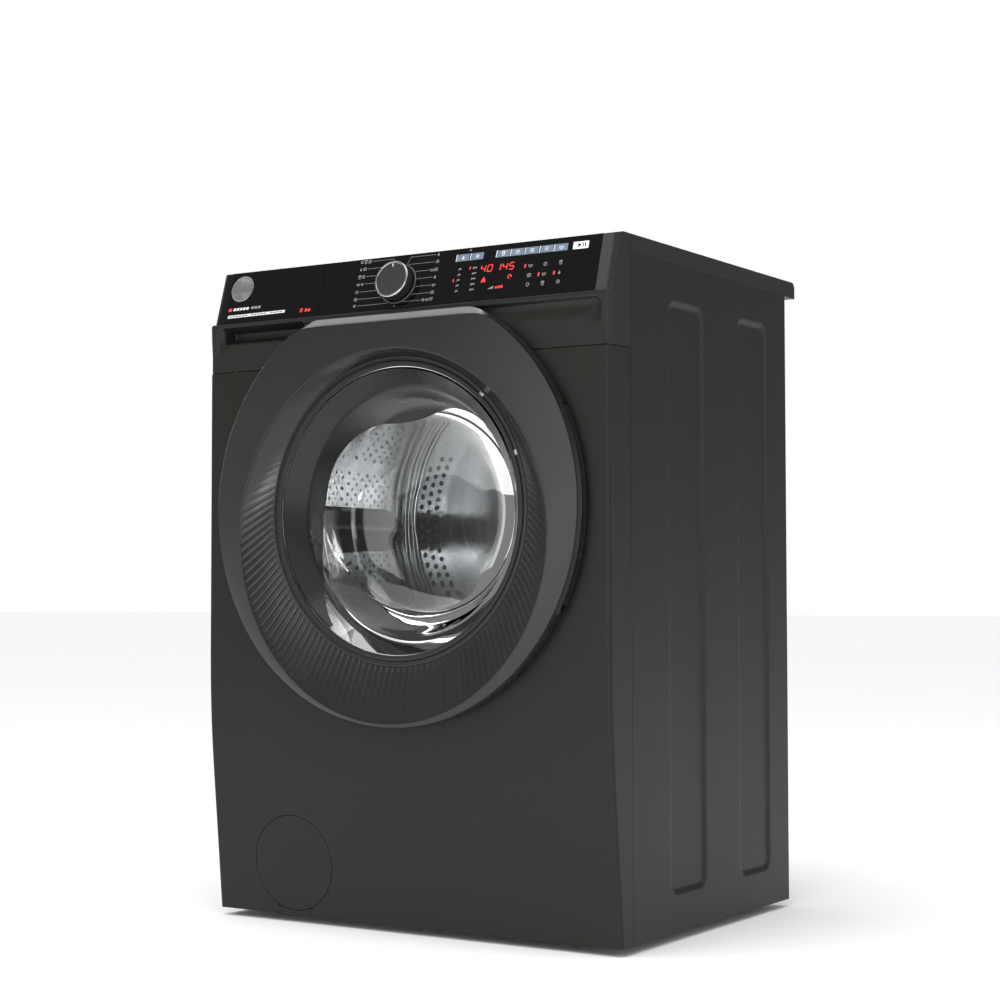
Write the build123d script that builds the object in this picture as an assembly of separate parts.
from build123d import *

import math
import os

# Front-loading washing machine.  Millimetres, +Z up, front towards -Y.
# The origin is on the floor, at the middle of the whole machine's footprint.

# ---- cabinet ----------------------------------------------------------------
WIDTH = 600.0
HALF = WIDTH / 2
CABINET_BOTTOM = 10.0
WORKTOP_UNDER = 819.2
TOP = 841.0
SHEET = 1.2
SEAM_Y = -193.5          # front edge of the side panels
REAR_Y = 236.5           # rear edge of the side panels
WORKTOP_REAR = 268.7
FLANGE = 8.0
SEAM_GAP = 0.6
INNER = HALF - SHEET

# ---- front panel ------------------------------------------------------------
FRONT_Y = -244.7
FRONT_TOP = 705.0
FLAT_ABOVE_Z = 341.0
FRONT_ARC_R = 1523.0
FRONT_ARC_DEG = 5.69
CORNER_R = 5.0
FLANGE_BACK_Y = -230.0    # rear edge of the flanges along the seam

# ---- control panel, on a face that leans back -------------------------------
PANEL_BOTTOM_Y = -242.4
PANEL_BOTTOM_Z = 770.0
PANEL_LENGTH = 72.0
PANEL_TILT = 16.48
PANEL_T = 3.8
PANEL_SEAT = 4.0
DRAWER_SEAM_X = -126.0
FASCIA_BOTTOM = 705.8
FASCIA_T = 2.5

# ---- door -------------------------------------------------------------------
DOOR_Z = 522.7
DOOR_R = 271.0
DOOR_TOP = 761.5
DOOR_BACK_Y = -246.2
DOOR_BEVEL_Y = -258.0
DOOR_FACE_Y = -264.6
DOOR_LIP_Y = -268.7
BEVEL_R = 268.0
BEVEL_TOP = 752.0
RIB_Z = 489.1
RIB_R = 228.4
WINDOW_R = 189.3
WINDOW_Y = -248.2
AXIS_Z = 519.7           # drum, window and port share this axis
HINGE_X = -258.0
HINGE_Y = -257.5
HINGE_PIN_R = 2.5
HINGE_SWEEP_R = 12.4
HANDLE_HALF = 118.0
HANDLE_X = 242.0
HANDLE_Y = -253.0
LATCH_X = 228.0
LATCH_Y = -252.0
PIN_R = 2.0
FIT = 0.05               # radial clearance of every running fit

# ---- washing unit -----------------------------------------------------------
PORT_R = 200.0
PORT_LIP_R = 177.0
TUB_R = 253.0
TUB_WALL = 4.0
TUB_FRONT_Y = -190.0
TUB_SPLIT_Y = -60.0
TUB_REAR_Y = 134.0
NECK_R = 172.0
DRUM_R = 240.0
DRUM_FRONT_Y = -173.5
DRUM_REAR_Y = 92.5
DRUM_MOUTH_R = 165.0
SHAFT_R = 15.0
SHAFT_REAR_R = 12.5
PULLEY_R = 140.0
PULLEY_Y = 181.0
BELT_W = 12.0
MOTOR_Z = 170.0
MOTOR_R = 66.0
MOTOR_PULLEY_R = 12.0
SPRING_X = 281.0
SPRING_Y = 64.0
DAMPER_X = 150.0

# ---- pump, filter and feet --------------------------------------------------
FILTER_X = -174.1
FILTER_Z = 76.4
FILTER_COVER_R = 60.5
FLAP_T = 2.5
FLAP_HINGE_Z = 21.0
FLAP_PIN_R = 0.9
FOOT_X = 240.0
FRONT_FOOT_Y = -140.0
REAR_FOOT_Y = 205.0
FOOT_R = 20.0

# ---- dispenser --------------------------------------------------------------
TRAY_BOTTOM = 774.0
TRAY_TOP = 811.0
TRAY_LEFT = -286.0
TRAY_RIGHT = -145.0


# ---- simple shapes ----------------------------------------------------------
def block(x0, x1, y0, y1, z0, z1):
    """A box between two corners."""
    centre = Pos((x0 + x1) / 2, (y0 + y1) / 2, (z0 + z1) / 2)
    return centre * Box(x1 - x0, y1 - y0, z1 - z0)


def rod_y(r, y0, y1, x=0.0, z=AXIS_Z):
    return Pos(x, (y0 + y1) / 2, z) * Rot(90, 0, 0) * Cylinder(r, y1 - y0)


def rod_z(r, z0, z1, x, y):
    return Pos(x, y, (z0 + z1) / 2) * Cylinder(r, z1 - z0)


def rod_x(r, x0, x1, y, z):
    return Pos((x0 + x1) / 2, y, z) * Rot(0, 90, 0) * Cylinder(r, x1 - x0)


def tube_y(outer, inner, y0, y1, x=0.0, z=AXIS_Z):
    return rod_y(outer, y0, y1, x, z) - rod_y(inner, y0 - 1, y1 + 1, x, z)


def tube_z(outer, inner, z0, z1, x, y):
    return rod_z(outer, z0, z1, x, y) - rod_z(inner, z0 - 1, z1 + 1, x, y)


def turned(points, x=0.0, z=AXIS_Z):
    """A solid turned about a line along Y, from (radius, y) points."""
    profile = make_face(Polyline(*[(r, 0, y) for r, y in points], close=True))
    return Pos(x, 0, z) * Rot(-90, 0, 0) * revolve(profile, axis=Axis.Z)


def prism_x(points, x0, x1):
    """A straight moulding along X, from (y, z) points."""
    profile = make_face(Polyline(*[(0, y, z) for y, z in points], close=True))
    return Pos(x0, 0, 0) * extrude(profile, amount=x1 - x0, dir=(1, 0, 0))


def both_sides(shape):
    """The shape and its mirror image about the middle of the machine."""
    return shape + mirror(shape, about=Plane.YZ)


def front_plane(y, z=DOOR_Z):
    """A sketching plane that faces the user: local X is +X, local Y is +Z."""
    return Plane(origin=(0, y, z), x_dir=(1, 0, 0), z_dir=(0, -1, 0))


PANEL_PLANE = Plane(
    origin=(0, PANEL_BOTTOM_Y, PANEL_BOTTOM_Z),
    x_dir=(1, 0, 0),
    z_dir=(0, -math.cos(math.radians(PANEL_TILT)), math.sin(math.radians(PANEL_TILT))),
)


def panel_point(s, depth):
    """(y, z) of a point s up the control panel and depth behind its face."""
    tilt = math.radians(PANEL_TILT)
    y = PANEL_BOTTOM_Y + s * math.sin(tilt) + depth * math.cos(tilt)
    z = PANEL_BOTTOM_Z + s * math.cos(tilt) - depth * math.sin(tilt)
    return y, z


def on_panel(shape, x, s, depth=0.0):
    """Stands a shape on the control panel, its +Z pointing out at the user."""
    return PANEL_PLANE.location * Pos(x, s, -depth) * shape


# ---- cabinet ----------------------------------------------------------------
SIDE_PRESSINGS = ((-53.2, 96.0), (134.0, 91.0))   # middle in Y, width in Y
PRESSING_BOTTOM = 55.0
PRESSING_TOP = 774.6
PRESSING_DEPTH = 2.5
PRESSING_R = 17.0
HANGER_Z = 772.0


def side_pressing(y, width, depth):
    """A long shallow recess with sloping walls, cut from the outside."""
    middle = (PRESSING_BOTTOM + PRESSING_TOP) / 2
    plane = Plane(origin=(HALF, y, middle), x_dir=(0, 1, 0), z_dir=(-1, 0, 0))
    height = PRESSING_TOP - PRESSING_BOTTOM
    outline = plane * RectangleRounded(width, height, PRESSING_R)
    return extrude(outline, amount=depth, taper=50)


def right_side_panel():
    """Steel side with flanged edges, two pressings and a spring hanger."""
    body = block(HALF - FLANGE, HALF, SEAM_Y, REAR_Y, CABINET_BOTTOM, WORKTOP_UNDER - 0.2)
    body -= block(
        HALF - FLANGE - 1, INNER,
        SEAM_Y + SHEET, REAR_Y - SHEET,
        CABINET_BOTTOM + SHEET, WORKTOP_UNDER - 0.2 - SHEET,
    )
    for y, width in SIDE_PRESSINGS:
        backing = side_pressing(y, width + 2.4, PRESSING_DEPTH + SHEET)
        body += backing & block(HALF - 10, HALF - 0.5, SEAM_Y, REAR_Y, 40, 790)
    for y, width in SIDE_PRESSINGS:
        body -= side_pressing(y, width, PRESSING_DEPTH)
    body += block(SPRING_X - 8, INNER + 0.2, SPRING_Y - 10, SPRING_Y + 10, HANGER_Z, HANGER_Z + 4)
    return body


def left_side_panel():
    return mirror(right_side_panel(), about=Plane.YZ)


def front_profile(inset, z0, z1):
    """Side view of the front: flat above, curving back to a sloping foot."""
    turn = math.radians(FRONT_ARC_DEG)
    radius = FRONT_ARC_R - inset
    centre_y = FRONT_Y + FRONT_ARC_R
    low_y = centre_y - radius * math.cos(turn)
    low_z = FLAT_ABOVE_Z - radius * math.sin(turn)
    foot_y = low_y + (low_z - z0) * math.tan(turn)
    flat_y = FRONT_Y + inset
    mid = turn / 2
    arc_mid = (0, centre_y - radius * math.cos(mid), FLAT_ABOVE_Z - radius * math.sin(mid))
    edges = [
        Line((0, flat_y, z1), (0, flat_y, FLAT_ABOVE_Z)),
        ThreePointArc((0, flat_y, FLAT_ABOVE_Z), arc_mid, (0, low_y, low_z)),
        Line((0, low_y, low_z), (0, foot_y, z0)),
        Line((0, foot_y, z0), (0, SEAM_Y - SEAM_GAP + inset, z0)),
        Line((0, SEAM_Y - SEAM_GAP + inset, z0), (0, SEAM_Y - SEAM_GAP + inset, z1)),
        Line((0, SEAM_Y - SEAM_GAP + inset, z1), (0, flat_y, z1)),
    ]
    return make_face(edges)


def front_blank(inset, z0, z1, corner):
    """The front's solid outline, its two upright front corners rounded."""
    half = HALF - inset
    solid = Pos(-half, 0, 0) * extrude(front_profile(inset, z0, z1), amount=2 * half, dir=(1, 0, 0))
    upright = [
        e for e in solid.edges()
        if abs(abs(e.center().X) - half) < 0.01 and e.length > 100 and e.center().Y < SEAM_Y - 10
    ]
    return fillet(upright, corner)


def front_tilt_plane(x, z):
    """The plane of the sloping foot at height z, facing outwards."""
    turn = math.radians(FRONT_ARC_DEG)
    low_y = FRONT_Y + FRONT_ARC_R * (1 - math.cos(turn))
    low_z = FLAT_ABOVE_Z - FRONT_ARC_R * math.sin(turn)
    y = low_y + (low_z - z) * math.tan(turn)
    return Plane(origin=(x, y, z), x_dir=(1, 0, 0), z_dir=(0, -math.cos(turn), -math.sin(turn)))


def on_flap_hinge(x, radius, length):
    """A rod on the filter flap's hinge line, midway through the flap."""
    plane = front_tilt_plane(FILTER_X, FLAP_HINGE_Z)
    return plane.location * Pos(x, 0, -FLAP_T / 2) * Rot(0, 90, 0) * Cylinder(radius, length)


def flap_slot(side):
    """Nick in the edge of the filter hole that a hinge pin turns in."""
    plane = front_tilt_plane(FILTER_X, FLAP_HINGE_Z)
    return plane.location * Pos(side * 24.5, 0, 0) * Box(8, 3.8, 6)


def flap_bearing(side):
    """Open bearing behind the front sheet for one hinge pin."""
    plane = front_tilt_plane(FILTER_X, FLAP_HINGE_Z)
    lug = plane.location * Pos(side * 27, -2.25, -3.5) * Box(1.6, 5.5, 5)
    return lug - on_flap_hinge(side * 27, FLAP_PIN_R + FIT, 4)


def front_panel():
    """Pressed steel front with the loading port and the filter hole."""
    shell = front_blank(0, CABINET_BOTTOM, FRONT_TOP, CORNER_R)
    shell -= front_blank(SHEET, CABINET_BOTTOM + SHEET, FRONT_TOP - SHEET, CORNER_R - SHEET)
    shell -= block(-290, 290, FLANGE_BACK_Y, SEAM_Y, FRONT_TOP - 5, FRONT_TOP + 1)
    shell -= rod_y(PORT_R, FRONT_Y - 5, -225)
    shell += turned([
        (PORT_R, FRONT_Y), (PORT_R + SHEET, FRONT_Y), (PORT_R + SHEET, -226),
        (PORT_LIP_R, -226), (PORT_LIP_R, -227.2), (PORT_R, -227.2),
    ])
    hole = front_tilt_plane(FILTER_X, FILTER_Z)
    shell -= hole.location * Cylinder(FILTER_COVER_R + 0.8, 12)
    for side in (-1, 1):
        shell -= flap_slot(side)
        shell += flap_bearing(side)
    for side in (-1, 1):
        z = AXIS_Z + side * 23
        shell -= block(-244.5, -234.5, FRONT_Y - 5, FRONT_Y + 5, z - 3.5, z + 3.5)
    shell -= block(214, 239, FRONT_Y - 5, FRONT_Y + 5, AXIS_Z - 8, AXIS_Z + 8)
    return shell


GRIP_LEFT, GRIP_RIGHT = -279.5, -145.5
GRIP_BOTTOM, GRIP_TOP = 734.0, 767.0
GRIP_BACK_Y = -222.0


def fascia_profile(inset):
    """Side view of the upper front, with the seat that the panel lies on."""
    seat_low = panel_point(-1.0, PANEL_SEAT + inset)
    seat_high = panel_point(PANEL_LENGTH, PANEL_SEAT + inset)
    back = SEAM_Y - SEAM_GAP + (3.0 if inset else 0.0)
    return [
        (back, FASCIA_BOTTOM + inset),
        (-243.5 + inset, FASCIA_BOTTOM + inset),
        (-242.9 + inset, 739.4),
        (-245.4 + inset, 757.0 + inset / 2),
        (-244.8 + inset, 767.0 - inset / 2),
        seat_low,
        seat_high,
        (-216.0 + inset, TOP - 0.8 - inset),
        (-213.0 + inset, TOP - inset),
        (back, TOP - inset),
    ]


BEVEL_POINTS = ((280.0, 0.0), (292.0, 2.6), (HALF, 7.5))   # x and depth behind the panel's face


def end_bevels():
    """The two-step wedges taken off the leaning face where it meets each side."""
    clear = HALF + 10
    points = [(x, -depth) for x, depth in BEVEL_POINTS]
    points += [(clear, -BEVEL_POINTS[-1][1]), (clear, 5), (BEVEL_POINTS[0][0], 5)]
    outline = make_face(Polyline(*[(x, 0, height) for x, height in points], close=True))
    cutter = extrude(outline, amount=PANEL_LENGTH + 20, dir=(0, 1, 0))
    return both_sides(PANEL_PLANE.location * Pos(0, -10, 0) * cutter)


def control_fascia():
    """Moulded carrier above the front panel, with the drawer's finger pocket."""
    body = prism_x(fascia_profile(0), -HALF, HALF)
    hollow = prism_x(fascia_profile(FASCIA_T), -HALF + FASCIA_T, HALF - FASCIA_T)
    shell = body - hollow
    shell -= block(-290, 290, FLANGE_BACK_Y, SEAM_Y, FASCIA_BOTTOM - 1, FASCIA_BOTTOM + 3)
    shell -= rod_y(PORT_R + SHEET + 0.4, -250, -220)
    shell += block(
        GRIP_LEFT - 2.5, GRIP_RIGHT + 2.5, -242, GRIP_BACK_Y + 2.5, GRIP_BOTTOM - 2.5, GRIP_TOP + 1.5
    )
    shell -= block(GRIP_LEFT, GRIP_RIGHT, -250, GRIP_BACK_Y, GRIP_BOTTOM, GRIP_TOP)
    shell -= block(-288, -143, -250, -205, TRAY_BOTTOM - 3, TRAY_TOP + 4)
    window = Pos(0, 0, -PANEL_SEAT) * Box(344, 52, 12)
    shell -= on_panel(window, 112, 36)
    return shell - end_bevels()


KEY_ROW_S = 59.6
KEY_W, KEY_H = 20.0, 9.4
START_KEY_X, START_KEY_W = 251.4, 21.6
TOUCH_KEYS_X = [84.6, 105.2] + [142.6 + 20.3 * i for i in range(5)]
KNOB_X, KNOB_S, KNOB_R, KNOB_H = -7.0, 33.0, 24.5, 16.0
KNOB_SHAFT_R = 3.0


def panel_plate(x0, x1):
    """Part of the leaning gloss panel, from x0 to x1."""
    points = [
        panel_point(0, 0),
        panel_point(PANEL_LENGTH, 0),
        panel_point(PANEL_LENGTH, PANEL_T),
        panel_point(0, PANEL_T),
    ]
    return prism_x(points, x0, x1)


def control_panel():
    """Gloss panel right of the drawer, with pockets for the touch keys."""
    plate = panel_plate(DRAWER_SEAM_X, HALF)
    for x in TOUCH_KEYS_X:
        plate -= on_panel(Box(KEY_W - 0.6, KEY_H, 1.6), x, KEY_ROW_S)
    plate -= on_panel(Box(START_KEY_W, KEY_H + 0.6, 12), START_KEY_X, KEY_ROW_S)
    plate -= on_panel(Cylinder(KNOB_SHAFT_R + 0.3, 12), KNOB_X, KNOB_S)
    return plate - end_bevels()


def touch_keys():
    """Seven flat touch fields let into the panel, flush with its face."""
    fields = [on_panel(Box(KEY_W - 0.8, KEY_H - 0.2, 0.7), x, KEY_ROW_S, 0.4) for x in TOUCH_KEYS_X]
    return Compound(children=fields)


def start_key():
    """Short-travel key with a stem that reaches the board."""
    cap = on_panel(Box(START_KEY_W - 0.7, KEY_H - 0.1, 3.0), START_KEY_X, KEY_ROW_S, 1.2)
    stem = on_panel(Cylinder(2.0, 10.3), START_KEY_X, KEY_ROW_S, 7.65)
    return cap + stem


BOARD_DEPTH = 15.0


def control_board():
    """Circuit board behind the panel, with the selector's socket."""
    board = on_panel(Box(338, 46, 1.6), 112, 36, BOARD_DEPTH)
    socket = on_panel(Cylinder(7.0, 8.2), KNOB_X, KNOB_S, BOARD_DEPTH - 4.8)
    display = on_panel(Box(62, 20, 9.0), 139, 41, BOARD_DEPTH - 5.3)
    shaft_hole = on_panel(Cylinder(KNOB_SHAFT_R + FIT, 8.0), KNOB_X, KNOB_S, 9.5)
    return board + socket + display - shaft_hole


def knob_body():
    """Programme selector with a shaft into the board's socket."""
    grip = on_panel(Cylinder(KNOB_R - 1.5, KNOB_H - 2.4), KNOB_X, KNOB_S, -(KNOB_H - 2.4) / 2 - 0.4)
    cap = on_panel(Cylinder(KNOB_R - 3.6, 2.2), KNOB_X, KNOB_S, -KNOB_H + 0.9)
    shaft = on_panel(Cylinder(KNOB_SHAFT_R, 13.0), KNOB_X, KNOB_S, 6.0)
    return grip + cap + shaft


def knob_ring():
    """Bright ring round the selector's face."""
    ring = Cylinder(KNOB_R, 2.6) - Cylinder(KNOB_R - 3.4, 4)
    return on_panel(ring, KNOB_X, KNOB_S, -KNOB_H + 0.6)


def worktop():
    """Laminate top with a hollow underside and an overhang at the rear."""
    slab = block(-HALF, HALF, SEAM_Y, WORKTOP_REAR, WORKTOP_UNDER, TOP)
    rear_top = slab.edges().filter_by(Axis.X).sort_by(lambda e: e.center().Z + e.center().Y)[-1]
    slab = fillet(rear_top, 8)
    slab -= block(-HALF + 12, HALF - 12, SEAM_Y + 12, REAR_Y - 12, WORKTOP_UNDER - 1, TOP - 6)
    slab += block(-HALF + 12, HALF - 12, -20, 20, WORKTOP_UNDER + 1, TOP - 5)
    return slab


SERVICE_HOLE_R = 150.0
REAR_T = 1.2
REAR_SKIN_Y = REAR_Y + 0.2
VALVE_X, VALVE_Z = -235.0, 785.0
VALVE_TAIL_R = 13.2
GLAND_X, GLAND_Z = 235.0, 120.0
DRAIN_X, DRAIN_Z = 255.0, 700.0
TRANSIT_X, TRANSIT_Z = 175.0, 150.0


def transit_places():
    return [(x, AXIS_Z + z) for x in (-TRANSIT_X, TRANSIT_X) for z in (-TRANSIT_Z, TRANSIT_Z)]


def screw_places():
    return [(x, z) for z in (60, 420, 790) for x in (-285, 285)]


def rear_panel():
    """Steel back with the service hole, transit bolt holes and fittings."""
    sheet = block(-296, 296, REAR_SKIN_Y, REAR_SKIN_Y + REAR_T, 14, 817)
    sheet -= rod_y(SERVICE_HOLE_R, REAR_Y - 5, REAR_Y + 10)
    for x, z in transit_places():
        sheet -= rod_y(12, REAR_Y - 5, REAR_Y + 10, x, z)
    sheet -= rod_y(14, REAR_Y - 5, REAR_Y + 10, VALVE_X, VALVE_Z)
    sheet -= rod_y(9, REAR_Y - 5, REAR_Y + 10, GLAND_X, GLAND_Z)
    sheet -= rod_y(11.5, REAR_Y - 5, REAR_Y + 10, DRAIN_X, DRAIN_Z)
    for x, z in screw_places():
        sheet -= rod_y(2.1, REAR_Y - 5, REAR_Y + 10, x, z)
    return sheet


def rear_service_cover():
    """Domed round lid over the belt and pulley."""
    y = REAR_SKIN_Y + REAR_T + 0.1
    return turned([
        (0, y + 7), (130, y + 7), (142, y), (162, y), (162, y + 1.2),
        (142.6, y + 1.2), (130.6, y + 8.2), (0, y + 8.2),
    ])


def rear_screws():
    """Six screws that hold the rear panel."""
    screws = []
    head_y = REAR_SKIN_Y + REAR_T
    for x, z in screw_places():
        head = rod_y(4.5, head_y + 0.05, head_y + 2.6, x, z)
        screws.append(head + rod_y(1.9, REAR_Y - 1.4, head_y + 1, x, z))
    return Compound(children=screws)


def transit_hole_caps():
    """Four plugs that close the transit bolt holes."""
    caps = []
    y = REAR_SKIN_Y + REAR_T
    for x, z in transit_places():
        caps.append(rod_y(16, y + 0.05, y + 2.5, x, z) + rod_y(11.7, REAR_Y - 4, y + 1, x, z))
    return Compound(children=caps)


def base_tray():
    """Moulded base with upstand edges and four foot sockets."""
    tray = block(-298.2, 298.2, -191.5, 234.8, 11.6, 46)
    tray -= block(-295.2, 295.2, -188.5, 231.8, 14, 60)
    tray -= block(FILTER_X - 36, FILTER_X + 36, -195, -186, 14, 60)
    for x, y in foot_places():
        tray += rod_z(22, 12, 34, x, y)
        tray -= rod_z(5.1, 5, 40, x, y)
    return tray


def top_crossbars():
    """Front and rear channels that tie the two sides together."""
    front = block(-138, 291, -188, -160, 800, 817.5) - block(-140, 293, -186.5, -161.5, 798, 816)
    rear = block(-291, 291, 206, 234, 800, 817.5) - block(-293, 293, 207.5, 232.5, 798, 816)
    return Compound(children=[front, rear])


def foot_places():
    return [(x, y) for x in (-FOOT_X, FOOT_X) for y in (FRONT_FOOT_Y, REAR_FOOT_Y)]


def foot_pads():
    """Four rubber-faced foot discs."""
    pads = []
    for x, y in foot_places():
        pad = rod_z(FOOT_R, 0, 8, x, y)
        pad = chamfer(pad.edges().filter_by(GeomType.CIRCLE), 1.2)
        pads.append(pad - rod_z(5.0, 4, 9, x, y))
    return Compound(children=pads)


def foot_studs():
    """Four threaded studs, each with its hexagonal lock nut."""
    studs = []
    for x, y in foot_places():
        nut = Pos(x, y, 36.4) * extrude(RegularPolygon(9.8, 6), amount=6)
        studs.append(rod_z(4.95, 4.05, 52, x, y) + nut)
    return Compound(children=studs)


# ---- door -------------------------------------------------------------------
def door_outline(radius, top, corner, y):
    """A circle cut flat across its top, with both top corners rounded."""
    disc = Circle(radius) - Pos(0, top - DOOR_Z + 200) * Rectangle(900, 400)
    shape = fillet(disc.vertices().group_by(Axis.Y)[-1], corner)
    return front_plane(y) * shape


def door_slab(radius, top, corner, y0, y1):
    """The door's outline as a slab from y0 forward to y1."""
    return extrude(door_outline(radius, top, corner, y0), amount=y0 - y1)


def bevel_solid(inset):
    """The tapering front edge, wide across the top and thin at the sides."""
    low = door_outline(DOOR_R - inset, DOOR_TOP - inset, 48, DOOR_BEVEL_Y)
    high = door_outline(BEVEL_R - inset, BEVEL_TOP - inset, 62, DOOR_FACE_Y)
    return loft([low, high], ruled=True)


def rib_cone(extra):
    """The eccentric dish between the face and the window."""
    outer = front_plane(DOOR_LIP_Y, RIB_Z) * Circle(RIB_R + extra)
    inner = front_plane(WINDOW_Y, AXIS_Z) * Circle(WINDOW_R + extra)
    return loft([outer, inner], ruled=True)


TRIM_T = 1.0


def hinge_ear_bands():
    return [(AXIS_Z + side * 23 - 4, AXIS_Z + side * 23 + 4) for side in (-1, 1)]


def door_frame():
    """Outer shell of the door: face, tapered edge and side wall."""
    body = door_slab(DOOR_R, DOOR_TOP, 48, DOOR_BACK_Y, DOOR_BEVEL_Y)
    body += bevel_solid(TRIM_T + 0.1)
    body -= door_slab(DOOR_R - 2.6, DOOR_TOP - 2.6, 46, DOOR_BACK_Y + 1, DOOR_BEVEL_Y + 0.5)
    body -= door_slab(BEVEL_R - 4, BEVEL_TOP - 4, 60, DOOR_BACK_Y + 1, DOOR_FACE_Y + 2)
    body -= rod_y(RIB_R + 2.7, DOOR_FACE_Y - 5, DOOR_BACK_Y + 1, 0, RIB_Z)
    knuckle_zone = block(-280, HINGE_X, -270, -240, AXIS_Z - 105, AXIS_Z + 105)
    body -= knuckle_zone - rod_z(HINGE_SWEEP_R, 400, 640, HINGE_X, HINGE_Y)
    for z0, z1 in hinge_ear_bands():
        body -= block(-280, -252, DOOR_FACE_Y + 2, -240, z0, z1)
    grip_zone = block(236, 280, -261.9, -240, AXIS_Z - HANDLE_HALF - 4, AXIS_Z + HANDLE_HALF + 4)
    body -= grip_zone & tube_y(280, 257, -270, -240)
    for side in (-1, 1):
        z = AXIS_Z + side * 63.3
        lug = block(HANDLE_X - 5, HANDLE_X + 5, -262.7, -249, z - 2.5, z + 2.5)
        body += lug - rod_z(PIN_R + FIT, z - 5, z + 5, HANDLE_X, HANDLE_Y)
    for side in (-1, 1):
        z = AXIS_Z + side * 8.2
        lug = block(LATCH_X - 4.5, LATCH_X + 4.5, -262.7, -248.5, z - 2, z + 2)
        lug -= rod_y(RIB_R + 3.0, -270, -240, 0, RIB_Z) & block(219, 227, -263, -240, z - 3, z + 3)
        body += lug - rod_z(PIN_R + FIT, z - 4, z + 4, LATCH_X, LATCH_Y)
    return body


def door_trim():
    """Bright strip over the tapering front edge."""
    shell = bevel_solid(0) - bevel_solid(TRIM_T)
    knuckle_zone = block(-280, HINGE_X, -270, -240, AXIS_Z - 105, AXIS_Z + 105)
    return shell - (knuckle_zone - rod_z(HINGE_SWEEP_R, 400, 640, HINGE_X, HINGE_Y))


def door_ribbed_ring():
    """Dished ring between the door's face and its window."""
    return rib_cone(2.5) - rib_cone(0)


def door_glass():
    """Clear bowl that keeps the washing off the door."""
    return turned([
        (0, -147), (116, -151), (134, -160), (147, -196), (157, -224), (178, -248),
        (184, -248), (184, -244), (180, -244), (161, -223), (151, -195), (138, -158),
        (118, -147), (0, -143),
    ])


def door_inner_frame():
    """Rear half of the door that clamps the bowl and closes the shell."""
    plate = door_slab(262, DOOR_TOP - 9.5, 46, -246.3, -248.0)
    plate -= rod_y(185.2, -250, -240)
    plate += turned([
        (196, -246.5), (196, -232), (170.4, -232), (181.2, -243.8), (185.2, -243.8), (185.2, -246.5),
    ])
    plate -= block(-280, -232, -250, -243, AXIS_Z - 32, AXIS_Z + 32)
    plate -= block(205, 250, -250, -243, AXIS_Z - 16, AXIS_Z + 16)
    plate -= block(234, 280, -250, -243, AXIS_Z - 126, AXIS_Z + 126)
    return plate


def hinge_arm():
    """Leaf fixed in the door, turning on the hinge pin."""
    knuckle = rod_z(5, AXIS_Z - 19.6, AXIS_Z + 19.6, HINGE_X, HINGE_Y)
    leaf = block(HINGE_X, -234, -262.4, -256.5, AXIS_Z - 19.6, AXIS_Z + 19.6)
    return knuckle + leaf - rod_z(HINGE_PIN_R, 400, 640, HINGE_X, HINGE_Y)


def hinge_pin():
    return rod_z(HINGE_PIN_R, AXIS_Z - 28, AXIS_Z + 28, HINGE_X, HINGE_Y)


def hinge_bracket():
    """Two goose-neck ears on a plate behind the front panel."""
    plate = block(-252, -226, -243.2, -240.2, AXIS_Z - 34, AXIS_Z + 34)
    for side in (-1, 1):
        z0, z1 = AXIS_Z + side * 23 - 3, AXIS_Z + side * 23 + 3
        plate += rod_z(5, z0, z1, HINGE_X, HINGE_Y)
        plate += block(HINGE_X, -236, -261.5, -253.5, z0, z1)
        plate += block(-243, -236, -261.5, -241, z0, z1)
    return plate - rod_z(HINGE_PIN_R + FIT, 400, 640, HINGE_X, HINGE_Y)


def door_handle():
    """Pull lever let into the door's right edge."""
    zone = block(244, 280, -255.0, -247.4, AXIS_Z - HANDLE_HALF, AXIS_Z + HANDLE_HALF)
    grip = zone & tube_y(DOOR_R, DOOR_R - 7, -270, -240, 0, DOOR_Z)
    plate = block(HANDLE_X, 266, -255, -250, AXIS_Z - 60, AXIS_Z + 60)
    barrel = rod_z(4, AXIS_Z - 60, AXIS_Z + 60, HANDLE_X, HANDLE_Y)
    pin = rod_z(PIN_R, AXIS_Z - 65.5, AXIS_Z + 65.5, HANDLE_X, HANDLE_Y)
    plate -= rod_y(RIB_R + 3.5, -270, -240, 0, RIB_Z)
    return grip + plate + barrel + pin


def latch_hook():
    """Hook on an upright pin, its nose pointing away from the drum."""
    pin = rod_z(PIN_R, AXIS_Z - 10, AXIS_Z + 10, LATCH_X, LATCH_Y)
    barrel = rod_z(3.6, AXIS_Z - 5.8, AXIS_Z + 5.8, LATCH_X, LATCH_Y)
    shank = block(LATCH_X - 2, LATCH_X + 2, LATCH_Y, -224, AXIS_Z - 5, AXIS_Z + 5)
    nose = block(LATCH_X, LATCH_X + 5.5, -229.5, -224, AXIS_Z - 5, AXIS_Z + 5)
    return pin + barrel + shank + nose


def door_lock():
    """Lock case behind the front panel, open towards the hook."""
    case = block(207, 247, FRONT_Y + 1.5, -208, AXIS_Z - 28, AXIS_Z + 28)
    case -= block(214, 239, FRONT_Y, -216, AXIS_Z - 8, AXIS_Z + 8)
    strike = block(233.9, 239.5, -238, -231, AXIS_Z - 8.5, AXIS_Z + 8.5)
    return case + strike


# ---- port seal --------------------------------------------------------------
def door_gasket():
    """Rubber bellows between the front panel's lip and the tub's neck."""
    return turned([
        (172, -231), (181, -231), (181, -227.4), (176.6, -227.4), (176.6, -225.8), (189, -225.8),
        (189, -212), (181, -212), (181, -194), (172.3, -194), (172.3, -201), (177.5, -201),
        (177.5, -215.5), (185.5, -215.5), (185.5, -222.3), (164, -222.3),
    ])


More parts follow.
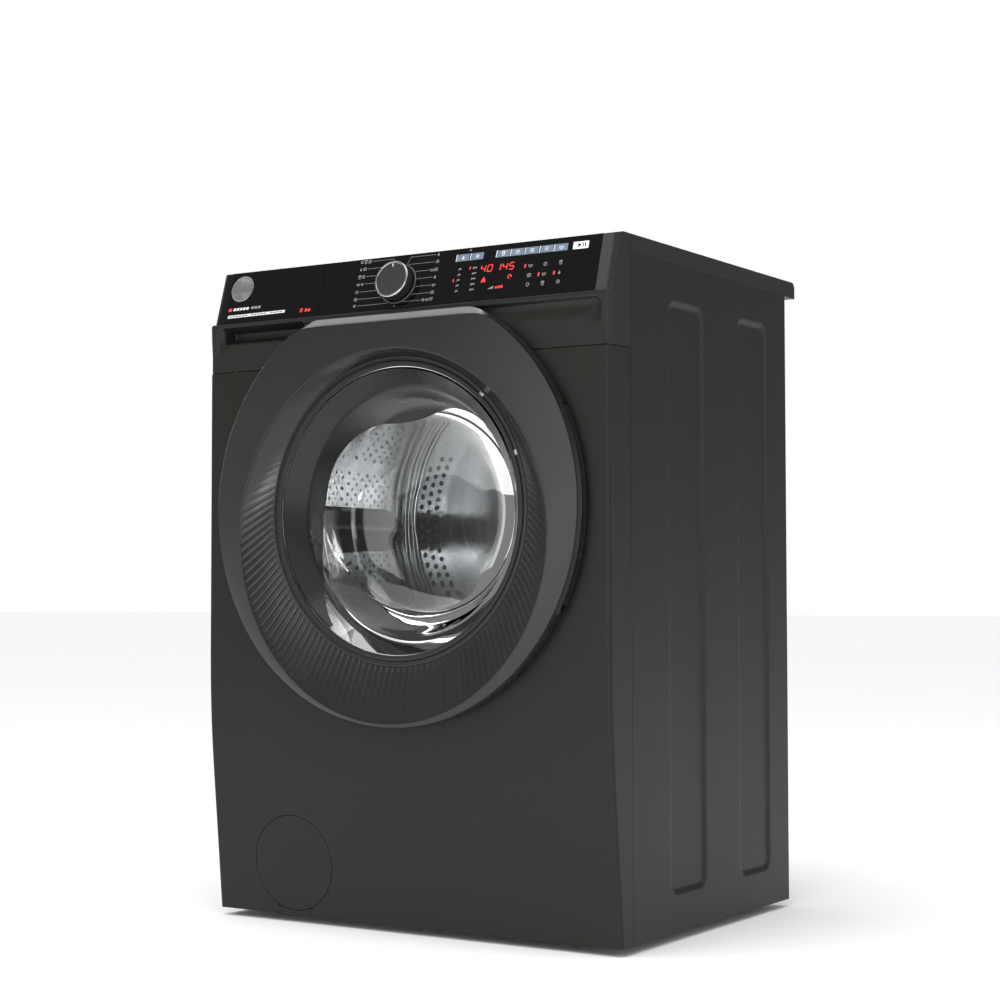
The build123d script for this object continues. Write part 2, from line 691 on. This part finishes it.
# ---- tub and drum -----------------------------------------------------------
def tub_front():
    """Front half of the tub with its neck, ribs and drain stub."""
    body = turned([
        (168, -208), (NECK_R, -208), (NECK_R, TUB_FRONT_Y), (TUB_R, TUB_FRONT_Y), (TUB_R, -150),
        (258, -150), (258, -146), (TUB_R, -146), (TUB_R, -106), (258, -106), (258, -102),
        (TUB_R, -102), (TUB_R, -66), (266, -66), (266, -61), (0, -61), (0, -207), (168, -207),
    ])
    body += rod_z(18, 280, 340, FILTER_X, -160)
    body -= turned([
        (0, -215), (168, -215), (168, -186), (TUB_R - TUB_WALL, -186), (TUB_R - TUB_WALL, -50), (0, -50),
    ])
    return body - rod_z(15, 270, 345, FILTER_X, -160)


HUB_R = 46.0
BEARING_FRONT = (31.0, 121.0, 137.0)     # outer radius, front and rear faces
BEARING_REAR = (26.0, 152.0, 167.0)
HOSE_X, HOSE_Y = -200.0, 0.0


def tub_rear():
    """Rear half of the tub: bearing hub, ribs, lugs and hose stub."""
    body = turned([
        (0, -59), (266, -59), (266, -54), (TUB_R, -54), (TUB_R, 20), (258, 20), (258, 24), (TUB_R, 24),
        (TUB_R, 100), (258, 100), (258, 104), (TUB_R, 104), (TUB_R, TUB_REAR_Y), (HUB_R, TUB_REAR_Y),
        (HUB_R, 170), (0, 170),
    ])
    for i in range(8):
        rib = block(HUB_R - 2, 250, TUB_REAR_Y - 1, 158, -2, 2)
        rib -= Pos(250, 158, 0) * Rot(0, 0, 7) * Box(420, 34, 10)
        body += Pos(0, 0, AXIS_Z) * Rot(0, 22.5 + 45 * i, 0) * rib
    body += both_sides(block(225, 290, SPRING_Y - 10, SPRING_Y + 10, 630, 637.8))
    body += both_sides(block(DAMPER_X - 8, DAMPER_X + 8, -8, 8, 292, 340))
    body += both_sides(block(60, 80, -22, -2, 261.1, 290))
    for y in (60, 120):
        body += block(-40, 40, y, y + 10, MOTOR_Z + MOTOR_R + 0.1, 285)
    body += rod_z(15, 660, 705, HOSE_X, HOSE_Y)
    body -= rod_y(TUB_R - TUB_WALL, -70, 128)
    body -= rod_z(12, 650, 710, HOSE_X, HOSE_Y)
    body += turned([(0, 110), (HUB_R, 110), (HUB_R, 129), (0, 129)])
    body -= rod_y(BEARING_FRONT[0], 100, BEARING_FRONT[2])
    body -= rod_y(BEARING_REAR[0], BEARING_REAR[1], 180)
    body -= rod_y(20, 100, 180)
    for x in (-22, 22):
        body -= rod_y(3.3, 120, 140, x, HEATER_Z)
    return body


HEATER_Z = AXIS_Z - 243.7
HEATER_R = 3.0


def heater():
    """Immersion heater in the gap under the drum."""
    rods = [rod_y(HEATER_R, -20, 134.2, x, HEATER_Z) for x in (-22, 22)]
    bend = rod_x(HEATER_R, -22, 22, -20, HEATER_Z)
    ends = [Pos(x, -20, HEATER_Z) * Sphere(HEATER_R) for x in (-22, 22)]
    flange = block(-34, 34, 134.1, 138, HEATER_Z - 9, HEATER_Z + 9)
    return rods[0] + rods[1] + bend + ends[0] + ends[1] + flange


def counterweights():
    """Two concrete half rings in front and a block below the tub."""
    ring = tube_y(247, 184, -206, -190.2)
    upper = ring & block(-260, 260, -210, -180, AXIS_Z + 34, 800)
    lower = ring & block(-260, 260, -210, -180, 200, AXIS_Z - 34)
    bottom = block(-100, 100, -52, 24, 165, 261)
    return Compound(children=[upper, lower, bottom])


def drum_bearings():
    """Front and rear ball bearings, pressed into the tub's hub."""
    outer, front, rear = BEARING_FRONT
    big = tube_y(outer - 0.02, SHAFT_R + FIT, front + 0.1, rear)
    outer, front, rear = BEARING_REAR
    small = tube_y(outer - 0.02, SHAFT_REAR_R + FIT, front, rear)
    return Compound(children=[big, small])


def shaft_seal():
    return tube_y(BEARING_FRONT[0] - 0.02, SHAFT_R + 0.08, 112, BEARING_FRONT[1])


def drum_shell():
    """Rolled drum with its turned-in mouth."""
    return turned([
        (DRUM_MOUTH_R, DRUM_FRONT_Y), (DRUM_R - 8, DRUM_FRONT_Y), (DRUM_R, DRUM_FRONT_Y + 8),
        (DRUM_R, DRUM_REAR_Y - 1), (DRUM_R - 1, DRUM_REAR_Y - 1), (DRUM_R - 1, DRUM_FRONT_Y + 8.4),
        (DRUM_R - 8.4, DRUM_FRONT_Y + 1), (DRUM_MOUTH_R, DRUM_FRONT_Y + 1),
    ])


def drum_rear_disc():
    """Stamped drum back with two raised steps."""
    y = DRUM_REAR_Y
    return turned([
        (0, y - 5), (92, y - 5), (97, y), (176, y), (181, y - 5), (205, y - 5), (210, y),
        (DRUM_R, y), (DRUM_R, y + 1.2), (209.4, y + 1.2), (204.4, y - 3.8), (181.6, y - 3.8),
        (176.6, y + 1.2), (96.4, y + 1.2), (91.4, y - 3.8), (0, y - 3.8),
    ])


LIFTER_ANGLES = (63, 183, 303)


def drum_lifters():
    """Three hollow ribs that tumble the washing."""
    ribs = []
    for angle in LIFTER_ANGLES:
        foot = Plane(origin=(DRUM_R - 2.5, 0, 0), x_dir=(0, 1, 0), z_dir=(-1, 0, 0))
        rib = extrude(foot * RectangleRounded(235, 62, 20), amount=45, taper=22)
        rib &= rod_y(DRUM_R - 1.2, -200, 200, 0, 0)
        middle = (DRUM_FRONT_Y + DRUM_REAR_Y) / 2
        ribs.append(Pos(0, middle, AXIS_Z) * Rot(0, -angle, 0) * rib)
    return Compound(children=ribs)


def drum_spider():
    """Cast three-armed carrier with the drum's shaft."""
    body = rod_y(38, 96, 108)
    for angle in (30, 150, 270):
        arm = block(20, 236, 96, 107, -16, 16)
        arm -= block(120, 240, 95, 108, 13, 20) + block(120, 240, 95, 108, -20, -13)
        body += Pos(0, 0, AXIS_Z) * Rot(0, -angle, 0) * arm
    body += rod_y(SHAFT_R, 107, 144)
    return body + rod_y(SHAFT_REAR_R, 143, 200)


def drum_pulley():
    """Spoked aluminium wheel on the end of the drum's shaft."""
    y0, y1 = PULLEY_Y - 1, PULLEY_Y + BELT_W + 1
    wheel = tube_y(PULLEY_R, PULLEY_R - 10, y0, y1) + rod_y(26, y0 - 4, y1)
    for i in range(6):
        spoke = block(20, PULLEY_R - 5, y0 + 3, y1 - 4, -8, 8)
        wheel += Pos(0, 0, AXIS_Z) * Rot(0, 60 * i, 0) * spoke
    return wheel - rod_y(SHAFT_REAR_R, 170, 201)


def motor_housing():
    """Drive motor hung below the tub."""
    can = rod_y(MOTOR_R, 45, 150, 0, MOTOR_Z)
    can += rod_y(30, 150, 160, 0, MOTOR_Z)
    can += block(-30, 30, 30, 46, MOTOR_Z - 25, MOTOR_Z + 25)
    return can - rod_y(6 + FIT, 90, 170, 0, MOTOR_Z)


def motor_pulley():
    """Motor shaft with its small grooved pulley."""
    wheel = rod_y(MOTOR_PULLEY_R, PULLEY_Y - 1, PULLEY_Y + BELT_W + 1, 0, MOTOR_Z)
    return wheel + rod_y(6, 95, 198, 0, MOTOR_Z)


def belt_loop(grow):
    """Open-belt outline round both pulleys, grown outwards."""
    big, small = PULLEY_R + grow, MOTOR_PULLEY_R + grow
    drop = AXIS_Z - MOTOR_Z
    lean = math.asin((big - small) / drop)
    side = (math.cos(lean), math.sin(lean))
    quad = Polyline(
        (big * side[0], -big * side[1]),
        (small * side[0], -drop - small * side[1]),
        (-small * side[0], -drop - small * side[1]),
        (-big * side[0], -big * side[1]),
        close=True,
    )
    return Circle(big) + Pos(0, -drop) * Circle(small) + make_face(quad)


def drive_belt():
    """Ribbed belt as one closed band."""
    band = belt_loop(3.2) - belt_loop(0.3)
    return extrude(front_plane(PULLEY_Y + BELT_W, AXIS_Z) * band, amount=BELT_W)


# ---- suspension -------------------------------------------------------------
def suspension_springs():
    """Two tension springs between the side hangers and the tub's lugs."""
    spring = tube_z(10, 7, 648, 762, SPRING_X, SPRING_Y)
    for z0, z1 in ((638, 650), (760, HANGER_Z - 0.1)):
        spring += rod_z(2, z0, z1, SPRING_X, SPRING_Y)
    for z in (648, 760):
        spring += rod_z(10, z, z + 2, SPRING_X, SPRING_Y)
    return Compound(children=[spring, mirror(spring, about=Plane.YZ)])


def damper_housings():
    """Friction damper tubes standing on the base."""
    tube = tube_z(14, 12, 26, 150, DAMPER_X, 0)
    tube += rod_z(14, 14.1, 27, DAMPER_X, 0)
    tube += tube_z(14, 6 + FIT, 146, 150, DAMPER_X, 0)
    return Compound(children=[tube, mirror(tube, about=Plane.YZ)])


def damper_rods():
    """Damper pistons pinned under the tub."""
    rod = rod_z(6, 60, 291.9, DAMPER_X, 0) + rod_z(12 - FIT, 60, 84, DAMPER_X, 0)
    return Compound(children=[rod, mirror(rod, about=Plane.YZ)])


# ---- water in and out -------------------------------------------------------
def dispenser_housing():
    """Box that the detergent drawer runs in."""
    body = block(-290, -141, -218, 42, 768, 817)
    body -= block(-288, -143, -222, 40, 770, 815)
    body += rod_z(15, 752, 769, HOSE_X, HOSE_Y)
    body -= rod_z(12, 750, 772, HOSE_X, HOSE_Y)
    return body + rod_y(8, 42, 44, VALVE_X, VALVE_Z) - rod_y(5, 30, 45, VALVE_X, VALVE_Z)


def drawer_front():
    """Gloss front of the detergent drawer, in line with the panel."""
    return panel_plate(-HALF, DRAWER_SEAM_X - 0.6) - end_bevels()


def drawer_tray():
    """Three-compartment detergent tray."""
    tray = block(TRAY_LEFT, TRAY_RIGHT, -224, 20, TRAY_BOTTOM, TRAY_TOP)
    for x0, x1, y0, y1 in tray_cells():
        tray -= block(x0, x1, y0, y1, TRAY_BOTTOM + 2, TRAY_TOP + 1)
    for x in (-265, -175):
        tray += block(x - 6, x + 6, -234.3, -223, TRAY_BOTTOM + 2, TRAY_BOTTOM + 9)
    return tray


def tray_cells():
    return [
        (TRAY_LEFT + 2, -240, -222, 18),
        (-238, -193, -222, 18),
        (-191, TRAY_RIGHT - 2, -222, -90),
        (-191, TRAY_RIGHT - 2, -88, 18),
    ]


def inlet_valve():
    """Water valve with a three-quarter-inch tail and its inner pipe."""
    body = block(VALVE_X - 15, VALVE_X + 15, 200, 232, VALVE_Z - 14, VALVE_Z + 12)
    body += rod_y(12.2, 231, 241, VALVE_X, VALVE_Z)
    body += rod_y(VALVE_TAIL_R, 240, 258, VALVE_X, VALVE_Z)
    body += rod_y(6, 44.1, 201, VALVE_X, VALVE_Z)
    return body - rod_y(8, 240, 260, VALVE_X, VALVE_Z)


def dispenser_hose():
    """Short bellows from the dispenser down to the tub."""
    hose = tube_z(18, 15.3, 698, 766, HOSE_X, HOSE_Y)
    for i in range(5):
        hose += tube_z(20, 17, 713 + 8 * i, 716 + 8 * i, HOSE_X, HOSE_Y)
    return hose


def sump_hose():
    """Bellows from the tub's drain stub down to the pump."""
    hose = tube_z(21, 18.3, 118, 296, FILTER_X, -160)
    for i in range(12):
        hose += tube_z(24, 20, 142 + 11 * i, 147 + 11 * i, FILTER_X, -160)
    return hose


def drain_pump():
    """Filter chamber, pump volute and pump motor on one base."""
    body = rod_y(32, -210, -120, FILTER_X, FILTER_Z)
    body += rod_y(40, -124, -98, FILTER_X, FILTER_Z)
    body += rod_y(28, -98, -50, FILTER_X, FILTER_Z)
    body += rod_z(18, FILTER_Z, 136, FILTER_X, -160)
    body += block(FILTER_X - 16, FILTER_X + 16, -186, -60, 14.1, 54)
    body += rod_z(11, FILTER_Z + 20, 135, FILTER_X + 26, -111)
    body -= rod_y(28 + FIT, -212, -132, FILTER_X, FILTER_Z)
    body -= rod_y(20, -133, -119, FILTER_X, FILTER_Z)
    body -= rod_y(34, -120, -101, FILTER_X, FILTER_Z)
    body -= rod_y(3 + FIT, -102, -78, FILTER_X, FILTER_Z)
    body -= rod_z(15, FILTER_Z + 10, 140, FILTER_X, -160)
    return body - rod_z(8, FILTER_Z + 10, 140, FILTER_X + 26, -111)


def pump_impeller():
    """Four-bladed pump wheel on its shaft."""
    wheel = rod_y(8, -118, -103, FILTER_X, FILTER_Z) + rod_y(3, -104, -80, FILTER_X, FILTER_Z)
    for angle in (0, 90):
        blade = Rot(0, angle, 0) * Box(58, 11, 2)
        wheel += Pos(FILTER_X, -111, FILTER_Z) * blade
    return wheel


def filter_plug():
    """Lint filter with a finger grip, screwed into its chamber."""
    plug = rod_y(28, -207, -196, FILTER_X, FILTER_Z)
    plug += block(FILTER_X - 20, FILTER_X + 20, -213, -206, FILTER_Z - 4, FILTER_Z + 4)
    cage = tube_y(24, 22, -197, -146, FILTER_X, FILTER_Z)
    for i in range(4):
        cage -= Pos(FILTER_X, -170, FILTER_Z) * Rot(0, 22.5 + 45 * i, 0) * Box(60, 34, 9)
    return plug + cage


def filter_cover():
    """Round flap flush with the sloping foot of the front panel, on two stub pins."""
    plane = front_tilt_plane(FILTER_X, FILTER_Z)
    disc = plane.location * Pos(0, 0, -FLAP_T / 2) * Cylinder(FILTER_COVER_R, FLAP_T)
    ring = Cylinder(54, 5) - Cylinder(52, 7)
    flap = disc + plane.location * Pos(0, 0, -FLAP_T - 2) * ring
    for side in (-1, 1):
        flap += on_flap_hinge(side * 24, FLAP_PIN_R, 8)
    return flap


def mains_gland():
    """Bush that the mains lead comes through."""
    bush = rod_y(8.8, 228, 243, GLAND_X, GLAND_Z)
    bush += rod_y(12, REAR_SKIN_Y + REAR_T + 0.1, 241, GLAND_X, GLAND_Z)
    return bush - rod_y(4, 220, 250, GLAND_X, GLAND_Z)


def drain_outlet():
    """Spigot that the waste hose pushes on to."""
    spigot = rod_y(11, 222, 262, DRAIN_X, DRAIN_Z)
    spigot += rod_y(17, REAR_SKIN_Y + REAR_T + 0.1, 241, DRAIN_X, DRAIN_Z)
    return spigot - rod_y(8.5, 220, 270, DRAIN_X, DRAIN_Z)


PARTS = [
    left_side_panel, right_side_panel, front_panel, control_fascia, control_panel, touch_keys,
    start_key, control_board, knob_body, knob_ring, worktop, rear_panel, rear_service_cover,
    rear_screws, transit_hole_caps, base_tray, top_crossbars, foot_pads, foot_studs, door_frame,
    door_trim, door_ribbed_ring, door_glass, door_inner_frame, hinge_arm, hinge_pin, hinge_bracket,
    door_handle, latch_hook, door_lock, door_gasket, tub_front, tub_rear, heater,
    counterweights, drum_bearings, shaft_seal, drum_shell, drum_rear_disc,
    drum_lifters, drum_spider, drum_pulley, motor_housing, motor_pulley, drive_belt,
    suspension_springs, damper_housings, damper_rods, dispenser_housing, drawer_front,
    drawer_tray, inlet_valve, dispenser_hose, sump_hose, drain_pump, pump_impeller,
    filter_plug, filter_cover, mains_gland, drain_outlet,
]

os.makedirs("parts", exist_ok=True)
for make in PARTS:
    export_step(make(), f"parts/{make.__name__}.step")
print(len(PARTS), "parts")
